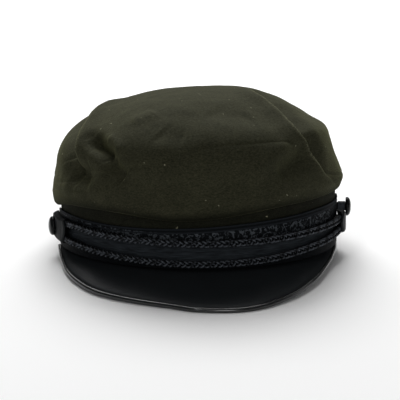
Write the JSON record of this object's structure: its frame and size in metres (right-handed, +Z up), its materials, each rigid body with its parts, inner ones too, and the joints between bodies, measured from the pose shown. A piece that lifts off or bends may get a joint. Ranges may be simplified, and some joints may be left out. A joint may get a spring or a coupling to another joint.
{
  "type": "skipper cap",
  "caption": "Soft wool skipper cap with a full two-panel crown, black trim with plaited cords between side buttons, and a smooth black peak with a rolled edge.",
  "frame": {"origin": "on the ground plane, under the middle of the cap's outline", "axes": "+Z up, the front of the cap and its peak towards -Y, the wearer's left side towards +X"},
  "size_m": [0.1935, 0.2556, 0.1052],
  "materials": {
    "olive_wool": "brushed wool",
    "black_ribbon": "figured ribbon with a slight gloss",
    "black_braid": "plaited cord with a slight gloss",
    "black_leather": "smooth satin",
    "black_plastic": "gloss"
  },
  "bodies": {
    "root": {"band": "olive_wool", "ribbon": "black_ribbon", "crown_side": "olive_wool", "crown_top": "olive_wool", "cord_upper": "black_braid", "cord_lower": "black_braid", "peak": "black_leather", "peak_binding": "black_leather", "tab_left": "black_leather", "shank_left": "black_braid", "button_left": "black_plastic", "tab_right": "black_leather", "shank_right": "black_braid", "button_right": "black_plastic"}
  },
  "joints": []
}
